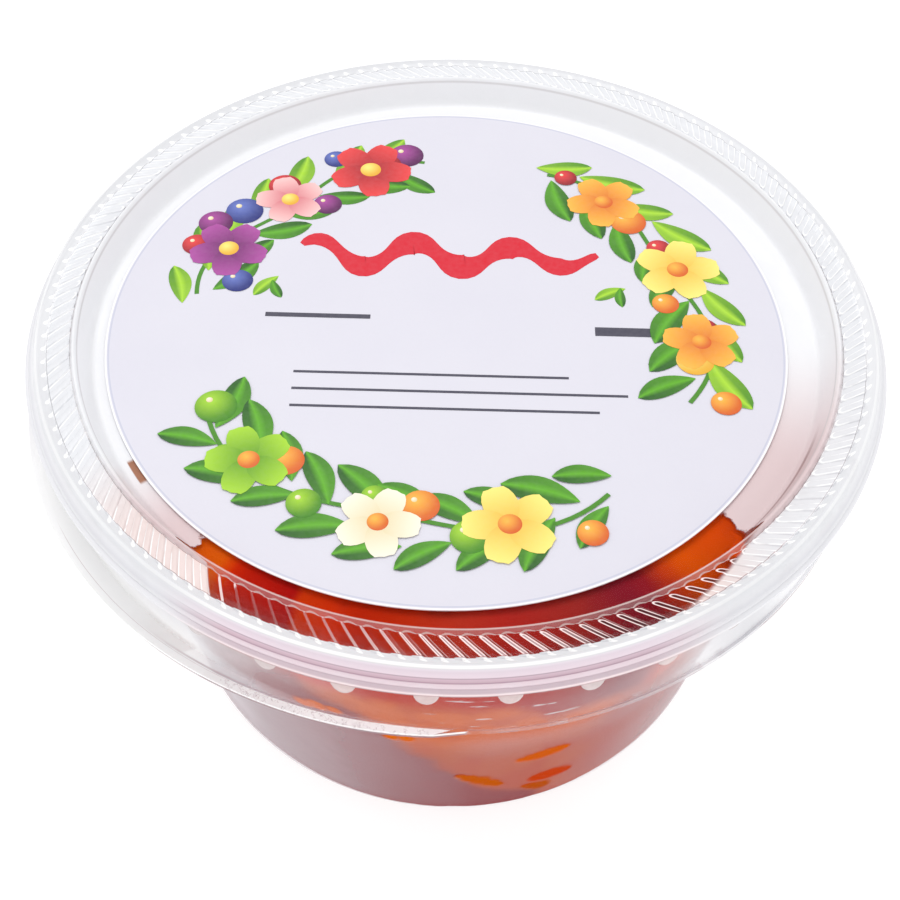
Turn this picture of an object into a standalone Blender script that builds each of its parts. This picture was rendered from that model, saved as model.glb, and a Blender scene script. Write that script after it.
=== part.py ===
"""Round clear tub of papaya chunks, shut by a fluted plug lid with a round label.

Metres, +Z up. The origin is the centre of the base, on the surface that the tub stands on.
-Y is the front and +X the right-hand side.
"""

import math
import random

import bmesh
import bpy
from mathutils import Euler, Matrix, Vector

MM = 0.001

# Driving dimensions
TOTAL_HEIGHT = 70.0 * MM
LID_EDGE_RADIUS = 60.0 * MM
LID_BEAD_RADIUS = 58.5 * MM
PLUG_TOP_RADIUS = 53.0 * MM
PLUG_FLOOR_RADIUS = 51.2 * MM
RECESS_DEPTH = 4.2 * MM
LID_SKIRT_HEIGHT = 3.7 * MM
WALL = 0.8 * MM
LID_WALL = 0.7 * MM
MOUTH_RADIUS = 55.0 * MM
BODY_FOOT_RADIUS = 44.3 * MM
BASE_FLAT_RADIUS = 38.5 * MM
COLLAR_TOP_RADIUS = 57.3 * MM
COLLAR_FOOT_RADIUS = 58.0 * MM
COLLAR_FOOT_HEIGHT = 55.4 * MM
LIP_RADIUS = 58.3 * MM
LIP_END_WIDTH = 0.6 * MM
LIP_SIDE_WIDTH = 3.5 * MM
LIP_END_DEG = 92.0
LUG_COUNT = 36
LUG_WIDTH = 3.2 * MM
LUG_HEIGHT = 4.4 * MM
LUG_CENTRE_Z = 62.9 * MM
LUG_PROUD = 0.5 * MM
LUG_PHASE_DEG = -2.5
LABEL_RADIUS = 48.0 * MM
LABEL_THICKNESS = 0.2 * MM
LABEL_SHIFT = -1.4 * MM
CHUNK_SIZE = 21.0 * MM
FRONT_CENTRE_DEG = -85.0
FRONT_HALF_DEG = 45.0
FRONT_RISE = 5.5 * MM

# Clearances between neighbouring pieces
REST_GAP = 0.2 * MM
LID_ON_RIM_GAP = 0.4 * MM
FRUIT_GAP = 0.5 * MM

TURN_STEPS = 72
SMALLEST_EDGE = 0.005 * MM
SEED = 41

LID_FLOOR_Z = TOTAL_HEIGHT - RECESS_DEPTH
LID_LAND_Z = TOTAL_HEIGHT - 0.6 * MM
LID_EDGE_Z = TOTAL_HEIGHT - LID_SKIRT_HEIGHT
RIM_TOP_Z = LID_LAND_Z - LID_WALL - LID_ON_RIM_GAP

# Outer side of the tub's body from its rim to its foot, as (share of height, share of taper)
BODY_CURVE = (
    (1.00, 1.00),
    (0.79, 0.83),
    (0.62, 0.61),
    (0.46, 0.40),
    (0.31, 0.22),
    (0.17, 0.08),
    (0.085, 0.00),
)


def clear_scene():
    for obj in list(bpy.data.objects):
        bpy.data.objects.remove(obj, do_unlink=True)


def new_collection(name):
    collection = bpy.data.collections.new(name)
    bpy.context.scene.collection.children.link(collection)
    return collection


def new_material(name, colour, roughness, alpha=1.0):
    material = bpy.data.materials.new(name)
    material.use_nodes = True
    shader = material.node_tree.nodes["Principled BSDF"]
    shader.inputs["Base Color"].default_value = (*colour, 1.0)
    shader.inputs["Roughness"].default_value = roughness
    shader.inputs["Metallic"].default_value = 0.0
    shader.inputs["Alpha"].default_value = alpha
    return material


def new_object(name, mesh, collection, material=None):
    obj = bpy.data.objects.new(name, mesh)
    if material:
        mesh.materials.append(material)
    collection.objects.link(obj)
    return obj


def make_active(obj):
    bpy.ops.object.select_all(action="DESELECT")
    obj.select_set(True)
    bpy.context.view_layer.objects.active = obj


def apply_modifiers(obj):
    make_active(obj)
    for modifier in list(obj.modifiers):
        bpy.ops.object.modifier_apply(modifier=modifier.name)


def shade_round(obj, angle_deg=40.0):
    obj.data.shade_smooth()
    obj.data.set_sharp_from_angle(angle=math.radians(angle_deg))


def profile_mesh(name, points):
    """A chain of edges in the XZ plane, which a Screw modifier turns round Z."""
    mesh = bpy.data.meshes.new(name)
    mesh.from_pydata(
        [(radius, 0.0, height) for radius, height in points],
        [(i, i + 1) for i in range(len(points) - 1)],
        [],
    )
    return mesh


def turned(name, points, collection, material=None, steps=TURN_STEPS):
    obj = new_object(name, profile_mesh(name, points), collection, material)
    screw = obj.modifiers.new("Turn", "SCREW")
    screw.axis = "Z"
    screw.angle = 2 * math.pi
    screw.steps = steps
    screw.render_steps = steps
    screw.use_merge_vertices = True
    screw.merge_threshold = 0.00001
    screw.use_smooth_shade = False
    return obj


def walled(obj, thickness=WALL):
    solidify = obj.modifiers.new("Wall", "SOLIDIFY")
    solidify.thickness = thickness
    solidify.offset = -1.0
    solidify.use_even_offset = True
    solidify.use_rim = True
    return obj


def arc(centre, radius, start_deg, end_deg, count):
    """Points of a round stretch of a profile, from one angle to the other."""
    points = []
    for i in range(count):
        angle = math.radians(start_deg + (end_deg - start_deg) * i / (count - 1))
        points.append(
            (centre[0] + radius * math.cos(angle), centre[1] + radius * math.sin(angle))
        )
    return points


def body_profile():
    """The outer side of the body, from under the rim down to the centre of the base."""
    foot_corner = BODY_FOOT_RADIUS - BASE_FLAT_RADIUS
    taper = MOUTH_RADIUS - BODY_FOOT_RADIUS
    height = RIM_TOP_Z - WALL
    points = [
        (BODY_FOOT_RADIUS + taper * out, height * up)
        for up, out in BODY_CURVE
    ]
    points += [
        (BASE_FLAT_RADIUS + foot_corner * across, foot_corner * up)
        for across, up in ((0.80, 0.45), (0.45, 0.14), (0.0, 0.0))
    ]
    points.append((0.0, 0.0))
    return points


def inner_radius(height):
    """Radius of the body's inner side at a height above the base."""
    profile = [p for p in body_profile() if p[0] > 0.0][::-1]
    for (low_r, low_z), (high_r, high_z) in zip(profile, profile[1:]):
        if height <= high_z:
            share = max(height - low_z, 0.0) / (high_z - low_z)
            return low_r + (high_r - low_r) * share - WALL
    return profile[-1][0] - WALL


def tub_profile():
    """The tub's under and outer side: lip, skirt, under the rim, then down the body."""
    rim_corner = 0.8 * MM
    under_rim = RIM_TOP_Z - WALL
    points = [(LIP_RADIUS, COLLAR_FOOT_HEIGHT)]
    points.append((COLLAR_FOOT_RADIUS - WALL, COLLAR_FOOT_HEIGHT))
    rim_centre = (COLLAR_TOP_RADIUS - WALL - rim_corner, under_rim - rim_corner)
    points += arc(rim_centre, rim_corner, 0, 90, 3)
    return points + body_profile()


def make_tub(collection, cutters, material):
    tub = walled(turned("tub", tub_profile(), collection, material))
    apply_modifiers(tub)
    for vertex in tub.data.vertices:
        widen_lip(vertex.co)
    for index in range(LUG_COUNT):
        angle = math.radians(-90 + LUG_PHASE_DEG + index * 360 / LUG_COUNT)
        add_lug(f"lug_{index}", angle, cutters)
    join_all(tub, cutters)
    shade_round(tub)
    return tub


def widen_lip(point):
    """Pulls the lip out on the left half, where a thumb pushes it down to free the lid."""
    on_lip = math.hypot(point.x, point.y) > LIP_RADIUS - 0.1 * MM
    if not on_lip or point.z > COLLAR_FOOT_HEIGHT + 2 * WALL:
        return
    from_left = math.atan2(point.y, -point.x)
    if abs(from_left) < math.radians(LIP_END_DEG):
        grown = LIP_SIDE_WIDTH - LIP_END_WIDTH
        width = LIP_END_WIDTH + grown * max(math.cos(from_left), 0.0)
        point.x -= width * math.cos(from_left)
        point.y += width * math.sin(from_left)


def add_lug(name, angle, collection):
    """An oval snap dot on the collar, its lower half showing below the lid's edge."""
    root = 0.5 * MM
    depth = LUG_PROUD + root
    share_up = (LUG_CENTRE_Z - COLLAR_FOOT_HEIGHT) / (RIM_TOP_Z - COLLAR_FOOT_HEIGHT)
    collar = COLLAR_FOOT_RADIUS + (COLLAR_TOP_RADIUS - COLLAR_FOOT_RADIUS) * share_up
    bm = bmesh.new()
    bmesh.ops.create_cone(
        bm,
        cap_ends=True,
        segments=10,
        radius1=LUG_WIDTH / 2,
        radius2=LUG_WIDTH * 0.4,
        depth=depth,
    )
    bmesh.ops.scale(bm, vec=(LUG_HEIGHT / LUG_WIDTH, 1.0, 1.0), verts=bm.verts)
    turn = Matrix.Rotation(angle, 4, "Z") @ Matrix.Rotation(math.radians(90), 4, "Y")
    place = collar - root + depth / 2
    shift = Vector((place * math.cos(angle), place * math.sin(angle), LUG_CENTRE_Z))
    bm.transform(Matrix.Translation(shift) @ turn)
    mesh = bpy.data.meshes.new(name)
    bm.to_mesh(mesh)
    bm.free()
    helper(new_object(name, mesh, collection))


def helper(obj):
    obj.hide_render = True
    obj.display_type = "WIRE"
    return obj


def join_all(obj, collection):
    """Fuses every solid of the collection to obj, then removes them."""
    union = obj.modifiers.new("Join", "BOOLEAN")
    union.operation = "UNION"
    union.operand_type = "COLLECTION"
    union.collection = collection
    union.solver = "MANIFOLD"
    apply_modifiers(obj)
    for piece in list(collection.objects):
        bpy.data.objects.remove(piece, do_unlink=True)


def lid_top_side():
    """From the middle of the lid's floor, over the ring, to the lower edge of its skirt."""
    bead = 0.9 * MM
    shoulder = LID_BEAD_RADIUS + 0.3 * MM
    points = [(0.0, LID_FLOOR_Z), (PLUG_FLOOR_RADIUS - 0.5 * MM, LID_FLOOR_Z)]
    points.append((PLUG_FLOOR_RADIUS, LID_FLOOR_Z + 0.4 * MM))
    points.append((PLUG_TOP_RADIUS - 0.25 * MM, TOTAL_HEIGHT - 0.3 * MM))
    points.append((PLUG_TOP_RADIUS, TOTAL_HEIGHT))
    points.append((PLUG_TOP_RADIUS + 0.5 * MM, TOTAL_HEIGHT))
    points.append((PLUG_TOP_RADIUS + 0.9 * MM, LID_LAND_Z))
    points.append((LID_BEAD_RADIUS - 1.5 * MM, LID_LAND_Z))
    points += arc((LID_BEAD_RADIUS - bead, TOTAL_HEIGHT - bead), bead, 90, 0, 4)
    points.append((shoulder, TOTAL_HEIGHT - 1.7 * MM))
    points.append((shoulder + 0.5 * MM, TOTAL_HEIGHT - 2.1 * MM))
    points.append((shoulder + 0.6 * MM, LID_EDGE_Z + 0.9 * MM))
    points.append((LID_EDGE_RADIUS, LID_EDGE_Z + 0.6 * MM))
    points.append((LID_EDGE_RADIUS, LID_EDGE_Z))
    return points


def lid_under_side():
    """Back from the skirt's lower edge, under the ring, to the middle of the floor."""
    under_land = LID_LAND_Z - LID_WALL
    under_floor = LID_FLOOR_Z - LID_WALL
    inside = LID_BEAD_RADIUS - LID_WALL
    return [
        (LID_EDGE_RADIUS - LID_WALL, LID_EDGE_Z),
        (LID_EDGE_RADIUS - LID_WALL, LID_EDGE_Z + 0.6 * MM),
        (inside + 0.2 * MM, TOTAL_HEIGHT - 2.2 * MM),
        (inside, under_land - 0.3 * MM),
        (inside - 0.3 * MM, under_land),
        (PLUG_TOP_RADIUS + 0.2 * MM, under_land),
        (PLUG_FLOOR_RADIUS + LID_WALL * 0.8, under_floor + 0.6 * MM),
        (PLUG_FLOOR_RADIUS, under_floor),
        (0.0, under_floor),
    ]


def make_lid(collection, material):
    lid = turned("lid", lid_top_side() + lid_under_side(), collection, material)
    apply_modifiers(lid)
    shade_round(lid)
    return lid


def make_label(collection, material):
    bm = bmesh.new()
    bmesh.ops.create_cone(
        bm,
        cap_ends=True,
        segments=TURN_STEPS,
        radius1=LABEL_RADIUS,
        radius2=LABEL_RADIUS,
        depth=LABEL_THICKNESS,
    )
    mesh = bpy.data.meshes.new("label")
    bm.to_mesh(mesh)
    bm.free()
    label = new_object("label", mesh, collection, material)
    label.location = (LABEL_SHIFT, 0.0, LID_FLOOR_Z + REST_GAP + LABEL_THICKNESS / 2)
    shade_round(label)
    return label


def fruit_envelope(inset, top, bottom):
    """Closed profile of a solid that keeps the given inset from the tub's inner wall."""
    foot = 6.0 * MM
    heights = [top - (top - foot) * i / 7 for i in range(8)]
    side = [(inner_radius(height) - inset, height) for height in heights]
    side.append((BASE_FLAT_RADIUS - inset, bottom))
    return [(0.0, top)] + side + [(0.0, bottom)]


def in_front(angle):
    """True over the front of the heap, where the chunks are pressed up against the lid."""
    turn = (math.degrees(angle) - FRONT_CENTRE_DEG + 180.0) % 360.0 - 180.0
    return abs(turn) < FRONT_HALF_DEG


def chunk_places():
    """Centre and size of each chunk that shows, ring by ring, at the wall and on top."""
    rng = random.Random(SEED)
    places = []
    wall_rings = ((10.0 * MM, 10), (29.0 * MM, 11), (48.0 * MM, 12))
    for height, count in wall_rings:
        start = rng.uniform(0.0, 2 * math.pi)
        for index in range(count):
            angle = start + (index + rng.uniform(-0.15, 0.15)) * 2 * math.pi / count
            centre_z = height + rng.uniform(-2.5, 2.5) * MM
            radius = inner_radius(centre_z) - CHUNK_SIZE * rng.uniform(0.40, 0.52)
            places.append((radius, angle, centre_z, CHUNK_SIZE * rng.uniform(0.85, 1.1)))
    for ring_radius, count in ((0.0, 1), (18.0 * MM, 6), (37.0 * MM, 11)):
        start = rng.uniform(0.0, 2 * math.pi)
        for index in range(count):
            angle = start + (index + rng.uniform(-0.12, 0.12)) * 2 * math.pi / count
            centre_z = TOTAL_HEIGHT + rng.uniform(-19.0, -17.0) * MM
            if in_front(angle) and ring_radius > 0.0:
                centre_z += FRONT_RISE
            places.append((ring_radius, angle, centre_z, CHUNK_SIZE * rng.uniform(0.9, 1.15)))
    return places, rng


def add_chunk(name, place, rng, collection):
    """A cut block of fruit: six faces, its corners a little uneven, tilted as it fell."""
    radius, angle, height, size = place
    bm = bmesh.new()
    bmesh.ops.create_cube(bm, size=size)
    stretch = (rng.uniform(0.8, 1.1), rng.uniform(0.85, 1.15), rng.uniform(0.75, 1.0))
    bmesh.ops.scale(bm, vec=stretch, verts=bm.verts)
    for vertex in bm.verts:
        vertex.co += Vector([rng.uniform(-0.07, 0.07) * size for _ in range(3)])
    tilt = Euler([rng.uniform(-0.45, 0.45), rng.uniform(-0.45, 0.45), 0.0])
    turn = Matrix.Rotation(angle + rng.uniform(-0.5, 0.5), 4, "Z")
    place_at = Vector((radius * math.cos(angle), radius * math.sin(angle), height))
    bm.transform(Matrix.Translation(place_at) @ turn @ tilt.to_matrix().to_4x4())
    mesh = bpy.data.meshes.new(name)
    bm.to_mesh(mesh)
    bm.free()
    helper(new_object(name, mesh, collection))


def keep_largest_shell(obj):
    """Drops loose scraps and fills sealed hollows: only the widest closed shell stays."""
    bm = bmesh.new()
    bm.from_mesh(obj.data)
    bmesh.ops.remove_doubles(bm, verts=bm.verts, dist=SMALLEST_EDGE)
    bmesh.ops.triangulate(bm, faces=bm.faces)
    left = set(bm.faces)
    shells = []
    while left:
        stack = [left.pop()]
        shell = set(stack)
        while stack:
            for edge in stack.pop().edges:
                for face in edge.link_faces:
                    if face in left:
                        left.discard(face)
                        shell.add(face)
                        stack.append(face)
        shells.append(shell)
    shells.sort(key=len)
    spare = [face for shell in shells[:-1] for face in shell]
    bmesh.ops.delete(bm, geom=spare, context="FACES")
    bm.to_mesh(obj.data)
    bm.free()


def make_fruit(collection, cutters, material):
    top = LID_FLOOR_Z - LID_WALL - FRUIT_GAP
    bottom = WALL + FRUIT_GAP
    core_inset = 7.0 * MM
    fruit = turned(
        "papaya_chunks",
        fruit_envelope(core_inset, top - 9.0 * MM, bottom + 3.0 * MM),
        collection,
        material,
        steps=24,
    )
    apply_modifiers(fruit)
    places, rng = chunk_places()
    for index, place in enumerate(places):
        add_chunk(f"chunk_{index}", place, rng, cutters)
    join_all(fruit, cutters)
    limit = turned(
        "fruit_limit", fruit_envelope(FRUIT_GAP, top, bottom), cutters, steps=48
    )
    apply_modifiers(limit)
    helper(limit)
    trim = fruit.modifiers.new("Trim", "BOOLEAN")
    trim.operation = "INTERSECT"
    trim.object = limit
    trim.solver = "MANIFOLD"
    apply_modifiers(fruit)
    bpy.data.objects.remove(limit, do_unlink=True)
    keep_largest_shell(fruit)
    return fruit


def main():
    clear_scene()
    tub_parts = new_collection("papaya_tub")
    cutters = new_collection("helpers")
    frosted = new_material("frosted_plastic", (0.80, 0.72, 0.72), 0.35, alpha=0.45)
    clear = new_material("clear_plastic", (0.86, 0.87, 0.90), 0.12, alpha=0.35)
    paper = new_material("label_paper", (0.83, 0.83, 0.92), 0.45)
    flesh = new_material("papaya_flesh", (0.70, 0.09, 0.02), 0.30)
    make_tub(tub_parts, cutters, frosted)
    make_lid(tub_parts, clear)
    make_label(tub_parts, paper)
    make_fruit(tub_parts, cutters, flesh)


main()
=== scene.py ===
# %% [markdown]
# # A clear tub of papaya chunks
#
# The object is a round plastic tub, full of cut papaya, shut by a lid that is pushed down into its mouth.
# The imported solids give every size. Here each one is replaced by a finer piece that has the real finish:
# thin clear plastic with fogged and milky zones, a ring of slanted ribs, a printed label and wet fruit.

import math
import random

import bmesh
import bpy
from mathutils import Euler, Matrix, Vector, noise


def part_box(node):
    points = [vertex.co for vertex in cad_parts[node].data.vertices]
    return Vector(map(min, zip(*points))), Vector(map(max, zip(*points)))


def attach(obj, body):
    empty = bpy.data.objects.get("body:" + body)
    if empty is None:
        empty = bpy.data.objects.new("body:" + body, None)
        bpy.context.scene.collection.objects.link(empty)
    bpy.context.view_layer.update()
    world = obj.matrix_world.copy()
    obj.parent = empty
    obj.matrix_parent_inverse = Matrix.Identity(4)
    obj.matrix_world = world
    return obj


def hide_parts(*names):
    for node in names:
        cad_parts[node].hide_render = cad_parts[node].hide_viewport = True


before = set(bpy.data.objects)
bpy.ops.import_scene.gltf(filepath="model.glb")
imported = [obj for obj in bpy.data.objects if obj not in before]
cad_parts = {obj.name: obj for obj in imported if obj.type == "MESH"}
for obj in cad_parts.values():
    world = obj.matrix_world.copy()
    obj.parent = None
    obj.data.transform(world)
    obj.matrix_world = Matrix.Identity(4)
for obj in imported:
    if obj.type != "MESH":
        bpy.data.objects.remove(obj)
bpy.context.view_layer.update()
MM = 0.001
print("CAD nodes:", sorted(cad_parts))

# %% [markdown]
# ## The camera
#
# The picture looks down on the tub from the front, at about 50 degrees, from a quarter of a metre away.
# A camera could be aimed by three angles, but a place and a point to look at are easier to read. The last
# turn is the small tilt of a hand-held camera.

# %% Camera
CAMERA_PLACE = Vector((0, -0.14395, 0.21302))
CAMERA_AIM = Vector((-0.0005, -0.0227, 0.066))
CAMERA_ROLL = math.radians(1.32)


def aimed(place, aim):
    """Stands at a place and looks at another."""
    return Matrix.Translation(place) @ (aim - place).to_track_quat("-Z", "Y").to_matrix().to_4x4()


camera = bpy.data.objects.new("camera", bpy.data.cameras.new("camera"))
bpy.context.scene.collection.objects.link(camera)
camera.data.sensor_width = 36
camera.data.lens = 57.67
camera.data.clip_start = 0.01
camera.matrix_world = aimed(CAMERA_PLACE, CAMERA_AIM) @ Matrix.Rotation(CAMERA_ROLL, 4, "Z")
bpy.context.scene.camera = camera
print("camera looks from", [round(v, 3) for v in camera.location])

# %% [markdown]
# ## Small tools for modelling
#
# Blender's operators act on what is selected, so each step first deselects everything. These helpers
# enter edit mode on one piece and select its points by a test on their place.

# %% Selecting and editing
def only(obj):
    """Leaves edit mode and makes this the one selected object."""
    if bpy.context.object and bpy.context.object.mode != "OBJECT":
        bpy.ops.object.mode_set(mode="OBJECT")
    bpy.ops.object.select_all(action="DESELECT")
    if obj:
        obj.select_set(True)
        bpy.context.view_layer.objects.active = obj


def added(name, add, **options):
    """Adds a shape with one of Blender's operators, and takes its place over into its points."""
    only(None)
    add(**options)
    obj = bpy.context.object
    obj.name = name
    bpy.ops.object.transform_apply()
    return obj


def joined(name, first, *others):
    only(first)
    for other in others:
        other.select_set(True)
    bpy.ops.object.join()
    first.name = name
    return first


def edit(obj, select="DESELECT"):
    only(obj)
    bpy.ops.object.mode_set(mode="EDIT")
    bpy.ops.mesh.select_mode(type="VERT")
    bpy.ops.mesh.select_all(action=select)


def everything():
    bpy.ops.mesh.select_all(action="SELECT")


def move(x, y, z):
    bpy.ops.transform.translate(value=(x, y, z))


def resize(x, y, z=1, centre=(0, 0, 0)):
    bpy.ops.transform.resize(value=(x, y, z), center_override=centre)


def outward(obj):
    """Turns all the faces outward."""
    everything()
    bpy.ops.mesh.normals_make_consistent(inside=False)
    only(obj)


def spin_round(count, merge):
    """Repeats what is selected all round the axis, and merges the points that meet."""
    bpy.ops.mesh.spin(steps=count, dupli=True, angle=2 * math.pi, center=(0, 0, 0), axis=(0, 0, 1))
    everything()
    bpy.ops.mesh.remove_doubles(threshold=merge)


def pick_points(obj, test):
    """Selects the points whose place passes the test, in edit mode."""
    bm = bmesh.from_edit_mesh(obj.data)
    for vertex in bm.verts:
        vertex.select = test(vertex.co)
    bm.select_flush_mode()
    bmesh.update_edit_mesh(obj.data)


def thicken(obj, thickness, even):
    """Gives a sheet its thickness, inward from its face."""
    wall = obj.modifiers.new("Wall", "SOLIDIFY")
    wall.thickness = thickness
    wall.offset = -1
    wall.use_even_offset = even
    only(obj)
    bpy.ops.object.modifier_apply(modifier=wall.name)


def round_shading(obj, degrees=35):
    only(obj)
    bpy.ops.object.shade_smooth_by_angle(angle=math.radians(degrees))


def open_edges(obj):
    """How many edges don't have a face on each side: 0 on a closed piece."""
    bm = bmesh.new()
    bm.from_mesh(obj.data)
    count = sum(1 for edge in bm.edges if len(edge.link_faces) != 2)
    bm.free()
    return count


def finish_piece(obj, slot, node, *finishes):
    """Gives the piece its finishes: it rides on the one body and may stand for a CAD node."""
    only(None)
    for finish in finishes:
        obj.data.materials.append(finish)
    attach(obj, "root")
    if node:
        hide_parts(node)
    print(f"{obj.name}: {len(obj.data.polygons)} faces")


# %% [markdown]
# ## Small tools for turned shapes
#
# The tub and the lid are bodies of revolution. The Screw modifier would turn a profile, but pulling a
# ring of points up a profile, as on a potter's wheel, keeps every ring where it can be picked later.

# %% Pulling a ring along a profile
STEPS = 288


def start_ring(name, radius, height, turn_deg=0):
    circle = bpy.ops.mesh.primitive_circle_add
    ring = added(name, circle, vertices=STEPS, radius=radius, location=(0, 0, height))
    edit(ring, select="SELECT")
    turn_round(turn_deg)
    return ring


def turn_round(degrees, **options):
    """Turns what is selected round the axis. With no window this operator turns the other way."""
    bpy.ops.transform.rotate(
        value=-math.radians(degrees), orient_axis="Z", center_override=(0, 0, 0), **options
    )


def pull_ring(start, points):
    """Extrudes the selected ring from point to point of a profile of (radius, height)."""
    radius, height = start
    for next_radius, next_height in points:
        rise = {"value": (0, 0, next_height - height)}
        bpy.ops.mesh.extrude_edges_move(TRANSFORM_OT_translate=rise)
        grow = next_radius / radius
        resize(grow, grow, centre=(0, 0, next_height))
        if next_radius == 0:
            bpy.ops.mesh.merge(type="CENTER")
            return
        radius, height = next_radius, next_height


def arc(centre, radius, start_deg, end_deg, count):
    """Points of a round stretch of a profile, in the unit of its centre."""
    turns = [math.radians(start_deg + (end_deg - start_deg) * i / (count - 1)) for i in range(count)]
    return [(centre[0] + radius * math.cos(t), centre[1] + radius * math.sin(t)) for t in turns]


def smooth_curve(points, per_span):
    """A soft curve through the points, so that a gleam on it has no kinks."""
    ends = [points[0]] + list(points) + [points[-1]]
    curve = []
    for a, b, c, d in zip(ends, ends[1:], ends[2:], ends[3:]):
        for i in range(per_span):
            t = i / per_span
            spot = []
            for e, f, g, h in zip(a, b, c, d):
                bend = (2 * e - 5 * f + 4 * g - h) * t * t + (3 * f - e - 3 * g + h) * t**3
                spot.append(0.5 * (2 * f + (g - e) * t + bend))
            curve.append(tuple(spot))
    return curve + [points[-1]]


def in_metres(points):
    return [(radius * MM, height * MM) for radius, height in points]


# %% [markdown]
# ## The tub
#
# The real tub is drawn down from one sheet: bowl, rolled rim and an outer skirt that ends in a small lip.
# One open sheet is pulled along the whole profile, then Solidify gives it the thickness of the wall. On
# the left half the lip is wider, as a tab for the thumb, and it ends square.

# %% Tub shell
WALL = 0.8
RIM_TOP = 68.3
UNDER_RIM = RIM_TOP - WALL
FOOT_FLAT = 38.5
BODY = [
    (55, 67.5), (53.18, 53.3), (50.83, 41.85), (48.58, 31.05), (46.65, 20.9), (45.16, 11.5),
    (44.3, 5.74), (43.14, 2.61), (41.11, 0.81), (FOOT_FLAT, 0),
]
LIP_START = (58.3, 55.4)
collar_inside = [(57.2, 55.4), (57.02, 59), (56.75, 63)]
rim = arc((55.7, UNDER_RIM - WALL), WALL, 0, 90, 5)
body_curve = smooth_curve(BODY, 4)

tub = start_ring("tub_shell", LIP_START[0] * MM, LIP_START[1] * MM)
pull_ring(in_metres([LIP_START])[0], in_metres(collar_inside + rim + body_curve + [(20, 0)]) + [(0, 0)])
outward(tub)
lowest = min(tub.data.polygons, key=lambda face: face.center.z + face.center.xy.length)
if lowest.normal.z > 0:
    edit(tub, select="SELECT")
    bpy.ops.mesh.flip_normals()
    only(tub)
thicken(tub, WALL * MM, True)
print("tub:", open_edges(tub), "open edges")

# %% Thumb tab on the lip
TAB_REACH = 2.9 * MM
TAB_END_DEG = 92
ON_LIP_FROM, ON_LIP_BELOW = 58.1 * MM, 57 * MM


def on_left_lip(place):
    on_lip = place.xy.length > ON_LIP_FROM and place.z < ON_LIP_BELOW
    return on_lip and abs(math.atan2(place.y, -place.x)) < math.radians(TAB_END_DEG)


edit(tub)
pick_points(tub, on_left_lip)
resize(1.01, 1.01, centre=(0, 0, LIP_START[1] * MM))
move(-TAB_REACH, 0, 0)
only(tub)
print("lip reaches", round(min(v.co.x for v in tub.data.vertices) * 1000, 1), "mm to the left")

# %% [markdown]
# ## The sag of the lip
#
# In front the lip hangs a little lower than at the sides: thin plastic warps when it cools. A falloff
# brush could pull it down; a soft wave over the angle, fading out up the collar, is easier to repeat.

# %% Sag of the lip
FRONT_DEG = -85
COLLAR_RADIUS = 56.3
LIP_SAG, SAG_HALF_DEG, SAG_TOP = 1.1, 38, 60


def from_front(place):
    """The angle in degrees between this place and the front, from 0 to 180."""
    apart = abs(math.degrees(math.atan2(place.y, place.x)) - FRONT_DEG)
    return min(apart, 360 - apart)


for vertex in tub.data.vertices:
    if vertex.co.xy.length > COLLAR_RADIUS * MM and vertex.co.z < SAG_TOP * MM:
        wave_share = 0.5 + 0.5 * math.cos(math.pi * min(from_front(vertex.co) / SAG_HALF_DEG, 1))
        vertex.co.z -= LIP_SAG * MM * wave_share * min((SAG_TOP - vertex.co.z / MM) / 3, 1)
round_shading(tub)
print("the lip hangs", LIP_SAG, "mm lower in front")

# %% [markdown]
# ## Snap dots
#
# A row of small oval bumps on the skirt holds the lid down. One is a squashed ball, spun round the tub
# as copies in the same mesh, so each is alike and evenly spaced.

# %% Snap dots
DOTS, DOT_Z = 36, 62.9 * MM
DOT_RADIUS = 57.7 * MM
first_dot = math.radians(-92.5)
dot_place = (DOT_RADIUS * math.cos(first_dot), DOT_RADIUS * math.sin(first_dot), DOT_Z)
ball = {"segments": 18, "ring_count": 10, "radius": 1.6 * MM, "scale": (0.5, 1, 1.38)}
dots = added(
    "snap_dots", bpy.ops.mesh.primitive_uv_sphere_add, location=dot_place, rotation=(0, 0, first_dot), **ball
)
edit(dots, select="SELECT")
spin_round(DOTS, 0.005 * MM)
outward(dots)
round_shading(dots, 60)
print("dots:", len(dots.data.polygons))

# %% [markdown]
# ## The ring of slanted ribs
#
# The lid's flat ring carries 144 low ribs, all slanted one way, which stiffen it and give a grip. One
# tile of 2.5 degrees is modelled from a small grid: its middle is inset, raised as a rib and bevelled.
# Its outer edge is then turned with a straight falloff, which slants it, and the tile is spun round.

# %% One rib
RIBS = 144
RING_IN, RING_OUT = 53.5 * MM, 57 * MM
LAND_Z = 69.4 * MM
RIB_RISE = 0.22 * MM
SLANT_DEG = 3.4
RIB_PHASE_DEG = 2.05
TILE_DEG = 360 / RIBS
half_tile = math.radians(TILE_DEG / 2)

ribs = added("rib_ring", bpy.ops.mesh.primitive_grid_add, x_subdivisions=2, y_subdivisions=4, size=1)
edit(ribs)
for row in range(5):
    radius = RING_OUT + (RING_IN - RING_OUT) * row / 4
    at = -0.5 + row / 4
    pick_points(ribs, lambda p: abs(p.y - at) < 0.01 and p.z == 0 and abs(p.x) <= 0.5)
    resize(2 * radius * math.sin(half_tile), 1)
    move(0, -radius * math.cos(half_tile) - at, LAND_Z)
everything()
bpy.ops.mesh.inset(thickness=0.5 * MM, use_even_offset=True)
middle = (0, -(RING_IN + RING_OUT) / 2, LAND_Z)
resize(1, 1.22, centre=middle)
bpy.ops.mesh.extrude_region_move(TRANSFORM_OT_translate={"value": (0, 0, RIB_RISE)})
resize(0.78, 0.94, centre=middle)
only(ribs)
print("one rib:", len(ribs.data.polygons), "faces")

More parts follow.
